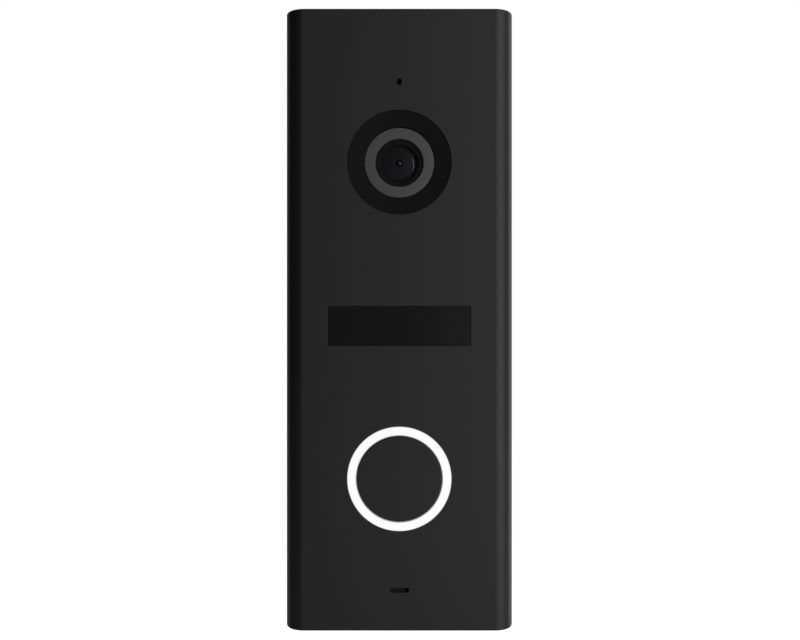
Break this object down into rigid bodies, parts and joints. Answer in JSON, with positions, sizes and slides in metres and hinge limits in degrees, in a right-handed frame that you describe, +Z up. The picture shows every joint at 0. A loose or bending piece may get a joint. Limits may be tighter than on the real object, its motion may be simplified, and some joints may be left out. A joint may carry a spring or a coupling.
{
  "type": "video doorbell",
  "caption": "Narrow upright video door station: black aluminium shell with a camera, a dark infrared window and a call button in a white light ring, hung on a steel wall bracket.",
  "frame": {"origin": "middle of the wall bracket's back face, which lies on the wall", "axes": "+Z up, +X to the right seen from in front, -Y out of the wall towards the visitor"},
  "size_m": [0.045, 0.022, 0.122],
  "materials": {
    "anodised_black": "black anodised, satin",
    "black_plastic": "fine moulded texture",
    "gloss_black": "polished",
    "smoked_window": "polished, passes infrared",
    "ring_diffuser": "translucent white, lit",
    "lens_metal": "grey anodised",
    "lens_glass": "coated",
    "zinc_steel": "zinc plated",
    "brass": "machined",
    "black_rubber": "matte",
    "circuit_board": "solder mask",
    "chip_black": "moulded epoxy",
    "ivory_plastic": "moulded",
    "amber_film": "polyimide film",
    "clear_resin": "clear",
    "aluminium_can": "plain"
  },
  "bodies": {
    "housing": {"front_shell": "anodised_black", "top_end_cap": "black_plastic", "bottom_end_cap": "black_plastic", "rear_cover": "black_plastic", "lens_holder": "black_plastic", "speaker_frame": "black_plastic", "camera_bezel": "gloss_black", "lens_retaining_ring": "gloss_black", "ir_window": "smoked_window", "light_ring": "ring_diffuser", "lens_barrel": "lens_metal", "lens_front_element": "lens_glass", "lens_rear_element": "lens_glass", "ir_cut_filter": "lens_glass", "wall_bracket": "zinc_steel", "lock_screw": "zinc_steel", "housing_screw_1": "zinc_steel", "housing_screw_2": "zinc_steel", "housing_screw_3": "zinc_steel", "housing_screw_4": "zinc_steel", "camera_screw_1": "zinc_steel", "camera_screw_2": "zinc_steel", "speaker_magnet": "zinc_steel", "standoff_1": "brass", "standoff_2": "brass", "standoff_3": "brass", "standoff_4": "brass", "housing_gasket": "black_rubber", "cable_grommet": "black_rubber", "trimmer_plug": "black_rubber", "lens_o_ring": "black_rubber", "ir_window_tape": "black_rubber", "light_ring_seal": "black_rubber", "speaker_gasket": "black_rubber", "microphone_boot": "black_rubber", "main_board": "circuit_board", "camera_board": "circuit_board", "video_processor": "chip_black", "image_sensor": "chip_black", "switch_base": "chip_black", "trimmer_base": "chip_black", "cable_header": "ivory_plastic", "light_sensor": "ivory_plastic", "ring_led_1": "ivory_plastic", "ring_led_2": "ivory_plastic", "ring_led_3": "ivory_plastic", "ring_led_4": "ivory_plastic", "camera_ribbon": "amber_film", "speaker_diaphragm": "amber_film", "ir_led_1": "clear_resin", "ir_led_2": "clear_resin", "ir_led_3": "clear_resin", "ir_led_4": "clear_resin", "capacitor_1": "aluminium_can", "capacitor_2": "aluminium_can", "microphone": "aluminium_can"},
    "button": {"call_button": "anodised_black"},
    "plunger": {"switch_plunger": "black_plastic"},
    "volume_rotor": {"trimmer_rotor": "ivory_plastic"}
  },
  "joints": [
    {"name": "call_button_press", "type": "slide", "parent": "housing", "child": "button", "axis": [0, 1, 0], "range_m": [0, 0.00035], "stiffness_N_per_m": 4000},
    {"name": "switch_plunger_press", "type": "slide", "parent": "housing", "child": "plunger", "axis": [0, 1, 0], "range_m": [0, 0.00035]},
    {"name": "volume_trimmer_turn", "type": "hinge", "parent": "housing", "child": "volume_rotor", "pos_m": [0.008, -0.008, -0.034], "axis": [0, 1, 0], "range_deg": [-105, 105]}
  ],
  "couplings": [
    {"joint": "switch_plunger_press", "follows": "call_button_press", "ratio": 1}
  ]
}
